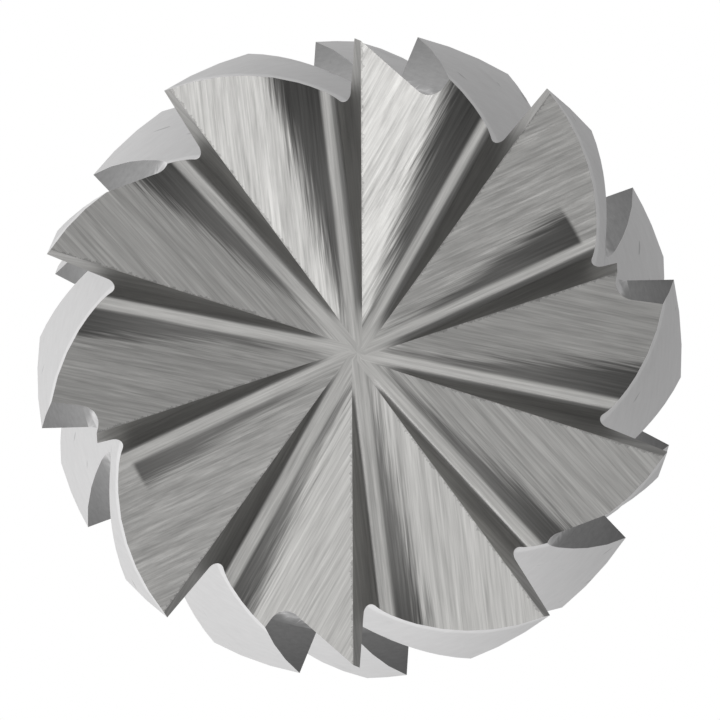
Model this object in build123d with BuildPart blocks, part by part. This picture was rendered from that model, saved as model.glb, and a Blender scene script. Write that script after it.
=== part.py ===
from build123d import *
import os
from math import cos, degrees, radians, sin, tan

# Solid carbide burr: a short cylindrical double-cut head with a ten-tooth end cut, in
# one piece with its neck and thinner shank. It stands on the end of the shank, and Z
# runs up the axis to the end cut. Lengths are in millimetres and angles in degrees.

# Blank
overall_length = 60.0
shank_diameter = 6.0
shank_chamfer = 0.3
head_diameter = 8.0
cut_length = 8.8
neck_diameter = 5.0
neck_length = 2.5
neck_fillet_radius = 0.8
shoulder_angle = 30.0
head_back_chamfer = 0.4

# Right-hand flutes, which carry on from the teeth of the end cut
tooth_count = 10
helix_angle = 16.7
first_tooth_angle = 18.8
flute_depth = 1.0
flute_root_radius = 0.13
side_rake_angle = -6.0
tooth_back_crown = 0.27

# Left-hand grooves, which break the right-hand teeth into short lengths
breaker_count = 6
breaker_helix_angle = 18.0
first_breaker_angle = 7.2
breaker_depth = 0.8
breaker_root_radius = 0.25
breaker_wall_angle = 72.0
breaker_span_angle = 25.0

# Gashes of the end cut, ground by a wheel with a rounded edge
first_gash_angle = 18.3
gash_wall_angle = 58.0
gash_land_angle = 20.0
gash_root_radius = 0.15
gash_offset = 0.065

# How far the cuts run past the blank
end_stock = 0.2
cut_overrun = 1.0

head_radius = head_diameter / 2
shank_radius = shank_diameter / 2
neck_radius = neck_diameter / 2
head_base = overall_length - cut_length
neck_base = head_base - neck_length
shoulder_base = neck_base - (shank_radius - neck_radius) / tan(radians(shoulder_angle))
blank_top = overall_length + end_stock
tooth_pitch = 360 / tooth_count


def polar(radius, angle):
    """Point at a radius and an angle in degrees."""
    return Vector(radius * cos(radians(angle)), radius * sin(radians(angle)))


def turn_per_length(lead_angle):
    """Degrees that a flute turns round the head in each millimetre of height."""
    return degrees(tan(radians(lead_angle)) / head_radius)


def flute_helix(lead_angle, start, end, lefthand=False):
    """Helix on the head's surface that steers a flute from one height to another."""
    pitch = 360 / turn_per_length(lead_angle)
    return Edge.make_helix(pitch, end - start, head_radius, center=(0, 0, start), lefthand=lefthand)


# The two walls of a gash hold two neighbouring cutting edges and meet along its root.
# The first of the two edges lies on the X axis here.
wall_drop = radians(gash_wall_angle)
land_drop = radians(gash_land_angle)
wall_normal = polar(sin(wall_drop), 90) + Vector(0, 0, cos(wall_drop))
land_normal = polar(sin(land_drop), tooth_pitch - 90) + Vector(0, 0, cos(land_drop))
root_line = wall_normal.cross(land_normal).normalized()
wall_line = root_line.cross(wall_normal).normalized()
land_line = land_normal.cross(root_line).normalized()
gash_opening = wall_line.get_angle(land_line)

# The rounded root of each gash just clears the middle of the end
root_rise = gash_root_radius * (1 / sin(radians(gash_opening / 2)) - 1)
crest_height = overall_length - root_rise
gash_middle_angle = tooth_pitch / 2
gash_shift = polar(gash_offset / cos(radians(gash_middle_angle)), gash_middle_angle - 90)
gash_centre = gash_shift + Vector(0, 0, crest_height)
wheel_reach = 2 * head_radius

with BuildPart() as gash:
    with BuildSketch(Plane(gash_centre, x_dir=wall_line, z_dir=root_line)) as gash_section:
        Polygon((0, 0), (wheel_reach, 0), polar(wheel_reach, -gash_opening), align=None)
        fillet(gash_section.vertices().sort_by_distance((0, 0))[0], gash_root_radius)
    extrude(amount=wheel_reach)
    extrude(gash_section.sketch, amount=-head_radius)

# Right-hand teeth, drawn where they start at the foot of the head
flute_floor = head_radius - flute_depth
flute_lean = degrees(flute_depth * tan(radians(-side_rake_angle)) / flute_floor)
foot_tooth_angle = first_tooth_angle - turn_per_length(helix_angle) * (crest_height - head_base)

# Left-hand groove, drawn with the lip of its steep wall on the X axis
groove_start = head_base - cut_overrun
groove_end = blank_top + cut_overrun
groove_turn = turn_per_length(breaker_helix_angle) * (crest_height - groove_start)
steep_lip = polar(head_radius, 0)
far_lip = polar(head_radius, breaker_span_angle)
groove_corner = Vector(head_radius - breaker_depth, breaker_depth / tan(radians(breaker_wall_angle)))
steep_top = steep_lip + (steep_lip - groove_corner).normalized() * cut_overrun
far_top = far_lip + (far_lip - groove_corner).normalized() * cut_overrun

with BuildPart() as burr:
    # Shank, shoulder and neck
    with BuildSketch(Plane.XZ) as shank_section:
        Polygon(
            (0, 0),
            (shank_radius - shank_chamfer, 0),
            (shank_radius, shank_chamfer),
            (shank_radius, shoulder_base),
            (neck_radius, neck_base),
            (neck_radius, head_base),
            (0, head_base),
            align=None,
        )
        neck_corner = shank_section.vertices().sort_by_distance((neck_radius, neck_base))[0]
        fillet(neck_corner, neck_fillet_radius)
    revolve(axis=Axis.Z)

    # Head with its right-hand teeth
    with BuildSketch(Plane.XY.offset(head_base)) as tooth_section:
        with BuildLine():
            for tooth in range(tooth_count):
                tip_angle = foot_tooth_angle + tooth * tooth_pitch
                floor_corner = polar(flute_floor, tip_angle + flute_lean)
                Line(polar(head_radius, tip_angle), floor_corner)
                SagittaArc(floor_corner, polar(head_radius, tip_angle + tooth_pitch), -tooth_back_crown)
        make_face()
        floor_corners = tooth_section.vertices().group_by(lambda corner: corner.center().length)[0]
        fillet(floor_corners, flute_root_radius)
    sweep(
        path=Line((0, 0, head_base), (0, 0, blank_top)),
        binormal=flute_helix(helix_angle, head_base, blank_top),
    )

    # Left-hand grooves
    with BuildSketch(Plane.XY.offset(groove_start)) as groove_section:
        with PolarLocations(0, breaker_count, start_angle=first_breaker_angle + groove_turn):
            Polygon(groove_corner, steep_top, far_top, align=None)
        groove_corners = groove_section.vertices().group_by(lambda corner: corner.center().length)[0]
        fillet(groove_corners, breaker_root_radius)
    sweep(
        path=Line((0, 0, groove_start), (0, 0, groove_end)),
        binormal=flute_helix(breaker_helix_angle, groove_start, groove_end, lefthand=True),
        mode=Mode.SUBTRACT,
    )

    # End cut
    with PolarLocations(0, tooth_count, start_angle=first_gash_angle):
        add(gash.part, mode=Mode.SUBTRACT)

    # Chamfer round the back of the head
    with BuildSketch(Plane.XZ):
        Polygon(
            (head_radius - head_back_chamfer, head_base),
            (head_radius + cut_overrun, head_base),
            (head_radius + cut_overrun, head_base + head_back_chamfer + cut_overrun),
            align=None,
        )
    revolve(axis=Axis.Z, mode=Mode.SUBTRACT)

burr.part.label = "burr"
os.makedirs("parts", exist_ok=True)
export_step(burr.part, "parts/burr.step")
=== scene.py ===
import bpy
from math import cos, pi, radians, sin, tan
from mathutils import Matrix, Vector


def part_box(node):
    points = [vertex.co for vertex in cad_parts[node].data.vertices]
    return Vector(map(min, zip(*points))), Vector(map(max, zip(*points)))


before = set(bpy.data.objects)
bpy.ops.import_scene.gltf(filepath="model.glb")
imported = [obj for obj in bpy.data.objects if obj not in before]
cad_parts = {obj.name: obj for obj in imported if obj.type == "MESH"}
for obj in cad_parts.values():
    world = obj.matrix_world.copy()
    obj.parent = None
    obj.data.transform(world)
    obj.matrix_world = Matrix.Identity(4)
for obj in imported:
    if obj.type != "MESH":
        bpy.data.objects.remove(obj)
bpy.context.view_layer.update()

from types import SimpleNamespace

# ---------------------------------------------------------------------------
# The burr: one rod of sintered tungsten carbide. Its ten flutes, its six crossing grooves
# and the ten gashes of the end cut are all ground with diamond wheels, and each wheel
# leaves its marks along its own cut.
# ---------------------------------------------------------------------------

MM = 0.001
low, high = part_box("burr")
HEAD_RADIUS = (high[0] - low[0]) / 2
TOP = high[2]


def put(tree, socket, value):
    """Links a socket to another, or sets its value."""
    if isinstance(value, bpy.types.NodeSocket):
        tree.links.new(value, socket)
    else:
        socket.default_value = value


def calc(tree, operation, *values):
    """A Math node's result."""
    node = tree.nodes.new("ShaderNodeMath")
    node.operation = operation
    for socket, value in zip(node.inputs, values):
        put(tree, socket, value)
    return node.outputs["Value"]


def vector_calc(tree, operation, *values):
    """A Vector Math node's vector."""
    node = tree.nodes.new("ShaderNodeVectorMath")
    node.operation = operation
    for socket, value in zip(node.inputs, values):
        put(tree, socket, value)
    return node.outputs["Vector"]


def scaled(tree, vector, factor):
    """A vector times a number."""
    node = tree.nodes.new("ShaderNodeVectorMath")
    node.operation = "SCALE"
    put(tree, node.inputs["Vector"], vector)
    put(tree, node.inputs["Scale"], factor)
    return node.outputs["Vector"]


def combine(tree, x, y, z):
    """A vector from three numbers."""
    node = tree.nodes.new("ShaderNodeCombineXYZ")
    for socket, value in zip(node.inputs, (x, y, z)):
        put(tree, socket, value)
    return node.outputs["Vector"]


def separate(tree, vector):
    """The three numbers of a vector."""
    node = tree.nodes.new("ShaderNodeSeparateXYZ")
    put(tree, node.inputs["Vector"], vector)
    return node.outputs["X"], node.outputs["Y"], node.outputs["Z"]


def ramp(tree, value, start, end, start_value=0.0, end_value=1.0):
    """A smooth step from one value to another while the input goes from start to end."""
    node = tree.nodes.new("ShaderNodeMapRange")
    node.interpolation_type = "SMOOTHSTEP"
    put(tree, node.inputs["Value"], value)
    put(tree, node.inputs["From Min"], start)
    put(tree, node.inputs["From Max"], end)
    put(tree, node.inputs["To Min"], start_value)
    put(tree, node.inputs["To Max"], end_value)
    return node.outputs["Result"]


def noise(tree, place, stretch, scale, detail, roughness):
    """A noise value about 0. A small stretch makes long marks in that direction."""
    node = tree.nodes.new("ShaderNodeTexNoise")
    put(tree, node.inputs["Vector"], vector_calc(tree, "MULTIPLY", place, stretch))
    put(tree, node.inputs["Scale"], scale)
    put(tree, node.inputs["Detail"], detail)
    put(tree, node.inputs["Roughness"], roughness)
    return calc(tree, "SUBTRACT", node.outputs["Fac"], 0.5)


def blend(tree, factor, first, second):
    """The first number where the factor is 0 and the second where it is 1."""
    difference = calc(tree, "SUBTRACT", second, first)
    return calc(tree, "MULTIPLY_ADD", difference, factor, first)


def blend_vectors(tree, factor, first, second):
    """The first vector where the factor is 0 and the second where it is 1."""
    difference = vector_calc(tree, "SUBTRACT", second, first)
    return vector_calc(tree, "ADD", first, scaled(tree, difference, factor))


def product(tree, *values):
    """All the numbers multiplied."""
    result = values[0]
    for value in values[1:]:
        result = calc(tree, "MULTIPLY", result, value)
    return result


def sum_of(tree, *values):
    """All the numbers added."""
    result = values[0]
    for value in values[1:]:
        result = calc(tree, "ADD", result, value)
    return result


def rest(tree, value):
    """What is left of 1."""
    return calc(tree, "SUBTRACT", 1.0, value)


# The cuts, in millimetres and radians. The edges of the end's ten teeth run straight out,
# each a little to one side of the tool's middle, and each gash's root lies beside its edge.
CUT_LENGTH = 8.8
HELIX_ANGLE = radians(16.7)
FLUTE_TURN = tan(HELIX_ANGLE) / (HEAD_RADIUS / MM)
TOOTH_COUNT = 10
PITCH = 2 * pi / TOOTH_COUNT
FIRST_EDGE = radians(18.3)
EDGE_OFFSET = 0.065
EDGE_TO_ROOT = radians(6.46)
LAND_SLOPE = tan(radians(20))
SMALLEST_RADIUS = 0.1

# Where the end cut, the grooves, the head and the rim pass into what lies beside them, by
# how far the faces look up or by the depth below the end
END_FACES_UP = 0.30, 0.42
END_DEPTHS = 2.2, 2.0
GROOVE_FACES_UP = 0.15, 0.22
HEAD_DEPTHS = CUT_LENGTH + 0.3, CUT_LENGTH
RIM_DEPTHS = 0.45, 0.20


def find_place(tree, at):
    """Where a point lies on the tool, and how its face looks."""
    in_metres = tree.nodes.new("ShaderNodeTexCoord").outputs["Object"]
    at.place = scaled(tree, in_metres, 1 / MM)
    x, y, at.z = separate(tree, at.place)
    at.radius = calc(tree, "SQRT", sum_of(tree, product(tree, x, x), product(tree, y, y)))
    at.angle = calc(tree, "ARCTAN2", y, x)
    at.depth = calc(tree, "SUBTRACT", TOP / MM, at.z)
    geometry = tree.nodes.new("ShaderNodeNewGeometry")
    at.normal = geometry.outputs["Normal"]
    at.face_normal = geometry.outputs["True Normal"]


def find_gash(tree, at):
    """Which gash of the end cut a point lies in, and where across and along it."""
    # The edges' offset is a larger angle nearer the middle
    lead = calc(tree, "DIVIDE", EDGE_OFFSET, calc(tree, "MAXIMUM", at.radius, SMALLEST_RADIUS))
    gashes = calc(tree, "DIVIDE", sum_of(tree, at.angle, lead, 2 * pi - FIRST_EDGE), PITCH)
    at.gash = calc(tree, "FLOORED_MODULO", calc(tree, "FLOOR", gashes), TOOTH_COUNT)
    from_edge = product(tree, calc(tree, "FRACT", gashes), PITCH)
    from_root = calc(tree, "SUBTRACT", from_edge, EDGE_TO_ROOT)
    at.across = product(tree, at.radius, calc(tree, "SINE", from_root))
    at.along = product(tree, at.radius, calc(tree, "COSINE", from_root))
    before_next_edge = calc(tree, "SUBTRACT", PITCH, from_edge)
    at.to_next_edge = product(tree, at.radius, calc(tree, "SINE", before_next_edge))
    at.gash_place = combine(tree, at.across, at.along, at.gash)


def find_cuts(tree, at):
    """Whether a point is on the end cut, in a groove, on the head or on the rim."""
    face_up = separate(tree, at.face_normal)[2]
    at.on_end = product(tree, ramp(tree, face_up, *END_FACES_UP), ramp(tree, at.depth, *END_DEPTHS))
    at.on_head = ramp(tree, at.depth, *HEAD_DEPTHS)
    # The smoothed normal keeps the borders of the facets' painted shade clean where a groove's bottom
    # is round
    groove_side = ramp(tree, separate(tree, at.normal)[2], *GROOVE_FACES_UP)
    at.in_groove = product(tree, rest(tree, at.on_end), groove_side, at.on_head)
    land_depth = product(tree, at.to_next_edge, LAND_SLOPE)
    below_land = calc(tree, "SUBTRACT", at.depth, land_depth)
    near_end = ramp(tree, below_land, *RIM_DEPTHS)
    at.on_rim = product(tree, rest(tree, at.on_end), near_end, rest(tree, at.in_groove))


# Across a gash, from its root: the wall to one side, and to the other a painted highlight band
# where the root is rounded, a strip of painted shade that widens towards the rim, and then the
# land. The gashes that face one way, as the light falls, get a narrower painted highlight and a
# wider, darker painted shade strip. On two gashes, opposite each other, the strip stops short of the
# rim.
BAND_START = 0.012
BAND_END = 0.14
BAND_FADE = 0.035
BAND_SHIFT = 0.03
BAND_RADII = 0.70, 0.15
STRIP_START = 1.0
STRIP_STOP = 3.04, 3.12
STRIP_WIDENING = 0.15
STRIP_FADE = 0.26, -0.05
STRIP_RAGGEDNESS = 0.32
# The heading of the gashes with the narrowest painted highlight band and the darkest painted shade
# strip
SHADED_GASH_HEADING = radians(57)
SHADED_GASH_WIDENING = 0.05

# The marks' stretch along the gash, and its shift from one gash to the next
FINE_MARKS = dict(stretch=(1.0, 0.03, 7.3), scale=34.0, detail=2.0, roughness=0.7)
COARSE_MARKS = dict(stretch=(1.0, 0.03, 7.3), scale=8.0, detail=2.0, roughness=0.6)
SHORT_MARKS = dict(stretch=(1.0, 0.10, 3.1), scale=16.0, detail=3.0, roughness=0.7)


def find_band(tree, at):
    """The wall of a gash and the painted highlight band of its rounded root."""
    gash_heading = calc(tree, "MULTIPLY_ADD", at.gash, PITCH, FIRST_EDGE - SHADED_GASH_HEADING)
    # How the light falls on each gash by its heading, for its painted highlight band and painted
    # shade strip
    at.dullness = calc(tree, "COSINE", gash_heading)
    # The painted highlight band's edge moves with the gash's heading
    shifted = calc(tree, "MULTIPLY_ADD", at.dullness, -BAND_SHIFT, at.across)
    wall_side = ramp(tree, shifted, BAND_START + BAND_FADE, BAND_START - BAND_FADE)
    at.on_wall = product(tree, at.on_end, wall_side)
    root_side = ramp(tree, at.across, BAND_END + BAND_FADE, BAND_END - BAND_FADE)
    along_root = product(tree, at.on_end, rest(tree, at.on_wall), root_side)
    in_middle = product(tree, at.on_end, ramp(tree, at.radius, *BAND_RADII))
    at.in_band = calc(tree, "MAXIMUM", along_root, in_middle)


def find_strip(tree, at):
    """The strip of painted shade beside the band, with a ragged far side."""
    at.fine_marks = noise(tree, at.gash_place, **FINE_MARKS)
    ragged = product(tree, at.fine_marks, STRIP_RAGGEDNESS)
    from_band = calc(tree, "SUBTRACT", sum_of(tree, at.across, ragged), BAND_END)
    # The strip of painted shade widens more on the gashes that face one way
    widening = calc(tree, "MULTIPLY_ADD", at.dullness, SHADED_GASH_WIDENING, STRIP_WIDENING)
    width = product(tree, calc(tree, "SUBTRACT", at.along, STRIP_START), widening)
    past_strip = calc(tree, "SUBTRACT", from_band, width)
    from_short_gash = calc(tree, "FLOORED_MODULO", at.gash, TOOTH_COUNT / 2)
    stops_short = calc(tree, "COMPARE", from_short_gash, 0.0, 0.5)
    stopped = product(tree, stops_short, ramp(tree, at.radius, *STRIP_STOP))
    at.in_strip = product(
        tree,
        at.on_end,
        rest(tree, stopped),
        ramp(tree, at.across, BAND_END - BAND_FADE, BAND_END + BAND_FADE),
        ramp(tree, past_strip, *STRIP_FADE),
    )


# The end cut's tones. Painted shade darkens the wall towards its foot and the strip towards the rim.
LAND_TONE = 0.56
# The band's lighter tone is a painted highlight; the wall's and the strip's darker tones are painted
# shade.
BAND_HIGHLIGHT_TONE = 0.58
WALL_SHADE_TONE = 0.41
WALL_SHADE_WIDTH = 0.25
WALL_FOOT_SHADE = 0.65
STRIP_SHADE_TONES = 0.21, 0.11
STRIP_SHADE_REACH = 1.8, 3.6
# Deeper painted shade on the strips of the gashes that face one way
SHADED_GASH_DARKENING = 0.30
COARSE_MARK_DEPTH = 0.45
FINE_MARK_DEPTH = 0.85

# Chips along the cutting edges, by the distance out, none of them near the middle
CHIP_MARKS = dict(stretch=(1.0, 5.3, 1.0), scale=14.0, detail=3.0, roughness=0.8)
CHIP_WIDTH = 0.16
CHIP_BIAS = 0.06
CHIP_FADE = 0.008, 0.0
CHIP_RADII = 0.6, 1.2


def edge_chips(tree, at):
    """Small chips along the cutting edges."""
    along_edge = combine(tree, at.radius, at.gash, 0.0)
    unevenness = sum_of(tree, noise(tree, along_edge, **CHIP_MARKS), CHIP_BIAS)
    past_chips = calc(tree, "SUBTRACT", at.to_next_edge, product(tree, unevenness, CHIP_WIDTH))
    return product(tree, ramp(tree, past_chips, *CHIP_FADE), ramp(tree, at.radius, *CHIP_RADII))


def end_tone(tree, at):
    """The tone of the end cut, with painted shade and highlight and the wheel's marks along each
    gash.
    """
    foot = BAND_START - BAND_FADE
    wall_shade = ramp(tree, at.across, foot - WALL_SHADE_WIDTH, foot, 1.0, WALL_FOOT_SHADE)
    tone = blend(tree, at.on_wall, LAND_TONE, product(tree, wall_shade, WALL_SHADE_TONE))
    tone = blend(tree, at.in_band, tone, BAND_HIGHLIGHT_TONE)
    strip_shade_tone = ramp(tree, at.along, *STRIP_SHADE_REACH, *STRIP_SHADE_TONES)
    # The strips of the gashes that face one way get deeper painted shade
    gash_shade_share = calc(tree, "MULTIPLY_ADD", at.dullness, -SHADED_GASH_DARKENING, 1.0)
    tone = blend(tree, at.in_strip, tone, product(tree, strip_shade_tone, gash_shade_share))
    tone = blend(tree, edge_chips(tree, at), tone, WALL_SHADE_TONE)
    coarse_marks = noise(tree, at.gash_place, **COARSE_MARKS)
    marks = sum_of(
        tree,
        product(tree, coarse_marks, COARSE_MARK_DEPTH),
        product(tree, at.fine_marks, FINE_MARK_DEPTH),
    )
    return product(tree, tone, sum_of(tree, marks, 1.0))


# The sides' tones. The grooves' facets that look up towards the end get painted shade, most
# of all at the outside of the head. Pores in the carbide show as specks.
FLUTE_TONE = 0.64
FACET_SHADE_TONES = 0.22, 0.12
FACET_RADII = 3.3, 4.0
# A painted highlight along the flutes just below the end cut
RIM_HIGHLIGHT = 1.25
FLUTE_MARKS = dict(stretch=(5.0, 7.0, 0.3), scale=4.0, detail=4.0, roughness=0.65)
FLUTE_MARK_DEPTH = 0.24
FACET_MARK_DEPTH = 0.90
SPECK_MARKS = dict(stretch=(1.0, 1.0, 1.0), scale=2.6, detail=0.0, roughness=0.5)
SPECK_LEVELS = 0.30, 0.34
SPECK_DARKENING = 0.45

# The neck and the shank are ground round and round
SHANK_TONE = 0.60
TURNED_MARKS = dict(stretch=(0.02, 0.02, 1.0), scale=7.0, detail=4.0, roughness=0.7)
TURNED_MARK_DEPTH = 0.22


def head_side_tone(tree, at):
    """The tone of flutes and grooves: painted shade on the grooves' facets, and marks that follow the
    flutes' helix.
    """
    facet_shade_tone = ramp(tree, at.radius, *FACET_RADII, *FACET_SHADE_TONES)
    tone = blend(tree, at.in_groove, FLUTE_TONE, facet_shade_tone)
    untwisted = calc(tree, "MULTIPLY_ADD", at.z, -FLUTE_TURN, at.angle)
    along_flute = combine(tree, untwisted, at.radius, at.z)
    mark_depth = blend(tree, at.in_groove, FLUTE_MARK_DEPTH, FACET_MARK_DEPTH)
    marks = product(tree, noise(tree, along_flute, **FLUTE_MARKS), mark_depth)
    tone = product(tree, tone, sum_of(tree, marks, 1.0))
    specks = ramp(tree, noise(tree, at.place, **SPECK_MARKS), *SPECK_LEVELS)
    specks = product(tree, specks, at.on_head)
    return product(tree, tone, calc(tree, "MULTIPLY_ADD", specks, -SPECK_DARKENING, 1.0))


def shank_tone(tree, at):
    """The tone of the neck and the shank."""
    marks = product(tree, noise(tree, at.place, **TURNED_MARKS), TURNED_MARK_DEPTH)
    return product(tree, sum_of(tree, marks, 1.0), SHANK_TONE)


TIP_DEPTH = 0.42


def ground_normal(tree, at):
    """The marks tip the surface to one side and the other, and the band and the strip lie flat."""
    heading = calc(tree, "MULTIPLY_ADD", at.gash, PITCH, FIRST_EDGE + EDGE_TO_ROOT + pi / 2)
    across_way = combine(tree, calc(tree, "COSINE", heading), calc(tree, "SINE", heading), 0.0)
    short_marks = noise(tree, at.gash_place, **SHORT_MARKS)
    tip = product(tree, short_marks, TIP_DEPTH, at.on_end, rest(tree, at.on_wall))
    flat = calc(tree, "MAXIMUM", at.in_band, at.in_strip)
    ground = blend_vectors(tree, flat, at.normal, (0.0, 0.0, 1.0))
    tipped = vector_calc(tree, "ADD", ground, scaled(tree, across_way, tip))
    return vector_calc(tree, "NORMALIZE", tipped)


GREEN_SHARE = 0.99
SIDE_BLUE_SHARE = 0.995
END_BLUE_SHARE = 0.965
SIDE_ROUGHNESS = 0.30
END_ROUGHNESS = 0.40
STRIP_ROUGHNESS = 0.55
BAND_ROUGHNESS = 0.50


def carbide_material():
    """Sintered carbide as the wheels leave it, with painted shade and highlights on the end and the
    grooves.
    """
    material = bpy.data.materials.new("ground_carbide")
    material.use_nodes = True
    tree = material.node_tree
    tree.nodes.clear()

    # What is known of a point of the surface, found out step by step
    at = SimpleNamespace()
    find_place(tree, at)
    find_gash(tree, at)
    find_cuts(tree, at)
    find_band(tree, at)
    find_strip(tree, at)

    tone = blend(tree, at.on_head, shank_tone(tree, at), head_side_tone(tree, at))
    # A painted highlight on the flutes just below the end cut
    tone = product(tree, tone, blend(tree, at.on_rim, 1.0, RIM_HIGHLIGHT))
    tone = blend(tree, at.on_end, tone, end_tone(tree, at))
    blue_share = blend(tree, at.on_end, SIDE_BLUE_SHARE, END_BLUE_SHARE)
    colour = combine(tree, tone, product(tree, tone, GREEN_SHARE), product(tree, tone, blue_share))
    roughness = blend(tree, at.on_end, SIDE_ROUGHNESS, END_ROUGHNESS)
    roughness = blend(tree, at.in_strip, roughness, STRIP_ROUGHNESS)
    roughness = blend(tree, at.in_band, roughness, BAND_ROUGHNESS)

    principled = tree.nodes.new("ShaderNodeBsdfPrincipled")
    put(tree, principled.inputs["Metallic"], 1.0)
    put(tree, principled.inputs["Base Color"], colour)
    put(tree, principled.inputs["Roughness"], roughness)
    put(tree, principled.inputs["Normal"], ground_normal(tree, at))
    output = tree.nodes.new("ShaderNodeOutputMaterial")
    tree.links.new(principled.outputs["BSDF"], output.inputs["Surface"])
    return material


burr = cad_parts["burr"]
burr.data.materials.clear()
burr.data.materials.append(carbide_material())

# ---------------------------------------------------------------------------
# The floor: a pale matt sheet that the tool stands on. The camera sees it as plain white.
# The carbide mirrors it as a white glow with painted shade on the side of the key lamp.
# ---------------------------------------------------------------------------

FLOOR_SIZE = 1.2
FLOOR_COLOUR = (0.8, 0.8, 0.8, 1.0)
SHADE_HEADING = radians(15)
SHADE_REACH = 0.03
WHITE_LEVEL = 1.0
SHADED_LEVEL = 0.4


def seen_by(tree, *kinds):
    """1 for rays of the given kinds and 0 for the rest."""
    rays = tree.nodes.new("ShaderNodeLightPath")
    result = rays.outputs[kinds[0]]
    for kind in kinds[1:]:
        result = calc(tree, "MAXIMUM", result, rays.outputs[kind])
    return result


def floor_material():
    """Pale matt floor that shows as plain white to the camera, and in the metal as a glow with
    painted shade on one side.
    """
    material = bpy.data.materials.new("pale_floor")
    material.use_nodes = True
    tree = material.node_tree
    tree.nodes.clear()
    diffuse = tree.nodes.new("ShaderNodeBsdfDiffuse")
    diffuse.inputs["Color"].default_value = FLOOR_COLOUR
    white = tree.nodes.new("ShaderNodeEmission")
    x, y, _ = separate(tree, tree.nodes.new("ShaderNodeTexCoord").outputs["Object"])
    towards = sum_of(tree, product(tree, x, cos(SHADE_HEADING)), product(tree, y, sin(SHADE_HEADING)))
    # A painted shade in the glow, towards the key lamp's side, that only the metal sees
    shade = ramp(tree, towards, -SHADE_REACH, SHADE_REACH, WHITE_LEVEL, SHADED_LEVEL)
    put(tree, white.inputs["Strength"], calc(tree, "MAXIMUM", shade, seen_by(tree, "Is Camera Ray")))
    mix = tree.nodes.new("ShaderNodeMixShader")
    put(tree, mix.inputs[0], seen_by(tree, "Is Camera Ray", "Is Glossy Ray", "Is Transmission Ray"))
    tree.links.new(diffuse.outputs["BSDF"], mix.inputs[1])
    tree.links.new(white.outputs["Emission"], mix.inputs[2])
    output = tree.nodes.new("ShaderNodeOutputMaterial")
    tree.links.new(mix.outputs["Shader"], output.inputs["Surface"])
    return material


def add_floor():
    """A flat square floor under the shank's end."""
    mesh = bpy.data.meshes.new("floor")
    half = FLOOR_SIZE / 2
    corners = [(-half, -half, 0), (half, -half, 0), (half, half, 0), (-half, half, 0)]
    mesh.from_pydata(corners, [], [(0, 1, 2, 3)])
    mesh.materials.append(floor_material())
    floor = bpy.data.objects.new("floor", mesh)
    bpy.context.scene.collection.objects.link(floor)


add_floor()

# ---------------------------------------------------------------------------
# The light: an even grey room that is paler overhead, a small soft lamp to one side of the
# tool, and a broad one opposite it that fills the shadows.
# ---------------------------------------------------------------------------

ROOM_LIGHT = 0.36
OVERHEAD_LIGHT = 0.60
OVERHEAD_REACH = 0.80, 0.97
ROOM_COLOUR = (1.0, 1.0, 1.0, 1.0)


def add_room():
    """The room's own light, paler overhead."""
    world = bpy.data.worlds.new("room")
    world.use_nodes = True
    tree = world.node_tree
    way = tree.nodes.new("ShaderNodeTexCoord").outputs["Generated"]
    up = separate(tree, way)[2]
    background = tree.nodes["Background"]
    strength = ramp(tree, up, *OVERHEAD_REACH, ROOM_LIGHT, OVERHEAD_LIGHT)
    put(tree, background.inputs["Strength"], strength)
    background.inputs["Color"].default_value = ROOM_COLOUR
    bpy.context.scene.world = world


def add_lamp(name, azimuth, elevation, distance, size, power):
    """A square soft lamp aimed at the end cut, from an azimuth and elevation in degrees."""
    data = bpy.data.lights.new(name, "AREA")
    data.size = size
    data.energy = power
    lamp = bpy.data.objects.new(name, data)
    bpy.context.scene.collection.objects.link(lamp)
    heading = radians(azimuth)
    lift = radians(elevation)
    away = Vector((cos(lift) * cos(heading), cos(lift) * sin(heading), sin(lift)))
    lamp.location = Vector((0, 0, TOP)) + away * distance
    lamp.rotation_euler = away.to_track_quat("Z", "Y").to_euler()


add_room()
add_lamp("key", azimuth=18, elevation=50, distance=0.30, size=0.16, power=0.16)
add_lamp("fill", azimuth=198, elevation=50, distance=0.30, size=0.30, power=0.19)

# ---------------------------------------------------------------------------
# The camera: it looks almost straight down the tool's axis from far away, so that the head
# hides the neck and the shank. The head lies a little off the picture's middle.
# ---------------------------------------------------------------------------

FRAME_PIXELS = 720
HEAD_RADIUS_PIXELS = 325.6
CENTRE_X_PIXELS = 357.0
CENTRE_Y_PIXELS = 352.8
TILT_HEADING = radians(-53)
TILT = radians(0.75)
CAMERA_DISTANCE = 90 * HEAD_RADIUS


def add_camera():
    """Aims the camera at the end cut and frames it."""
    data = bpy.data.cameras.new("camera")
    camera = bpy.data.objects.new("camera", data)
    bpy.context.scene.collection.objects.link(camera)
    away = Vector((sin(TILT) * cos(TILT_HEADING), sin(TILT) * sin(TILT_HEADING), cos(TILT)))
    picture_up = (Vector((0, 1, 0)) - away * away.y).normalized()
    picture_right = picture_up.cross(away)
    turn = Matrix((picture_right, picture_up, away)).transposed().to_4x4()
    camera.matrix_world = Matrix.Translation(Vector((0, 0, TOP)) + away * CAMERA_DISTANCE) @ turn
    frame_width = FRAME_PIXELS / HEAD_RADIUS_PIXELS * HEAD_RADIUS
    data.lens = data.sensor_width * CAMERA_DISTANCE / frame_width
    data.shift_x = (FRAME_PIXELS / 2 - CENTRE_X_PIXELS) / FRAME_PIXELS
    data.shift_y = (CENTRE_Y_PIXELS - FRAME_PIXELS / 2) / FRAME_PIXELS
    data.clip_start = CAMERA_DISTANCE / 100
    data.clip_end = CAMERA_DISTANCE * 10
    bpy.context.scene.camera = camera


add_camera()

bpy.context.scene.view_settings.view_transform = "Standard"
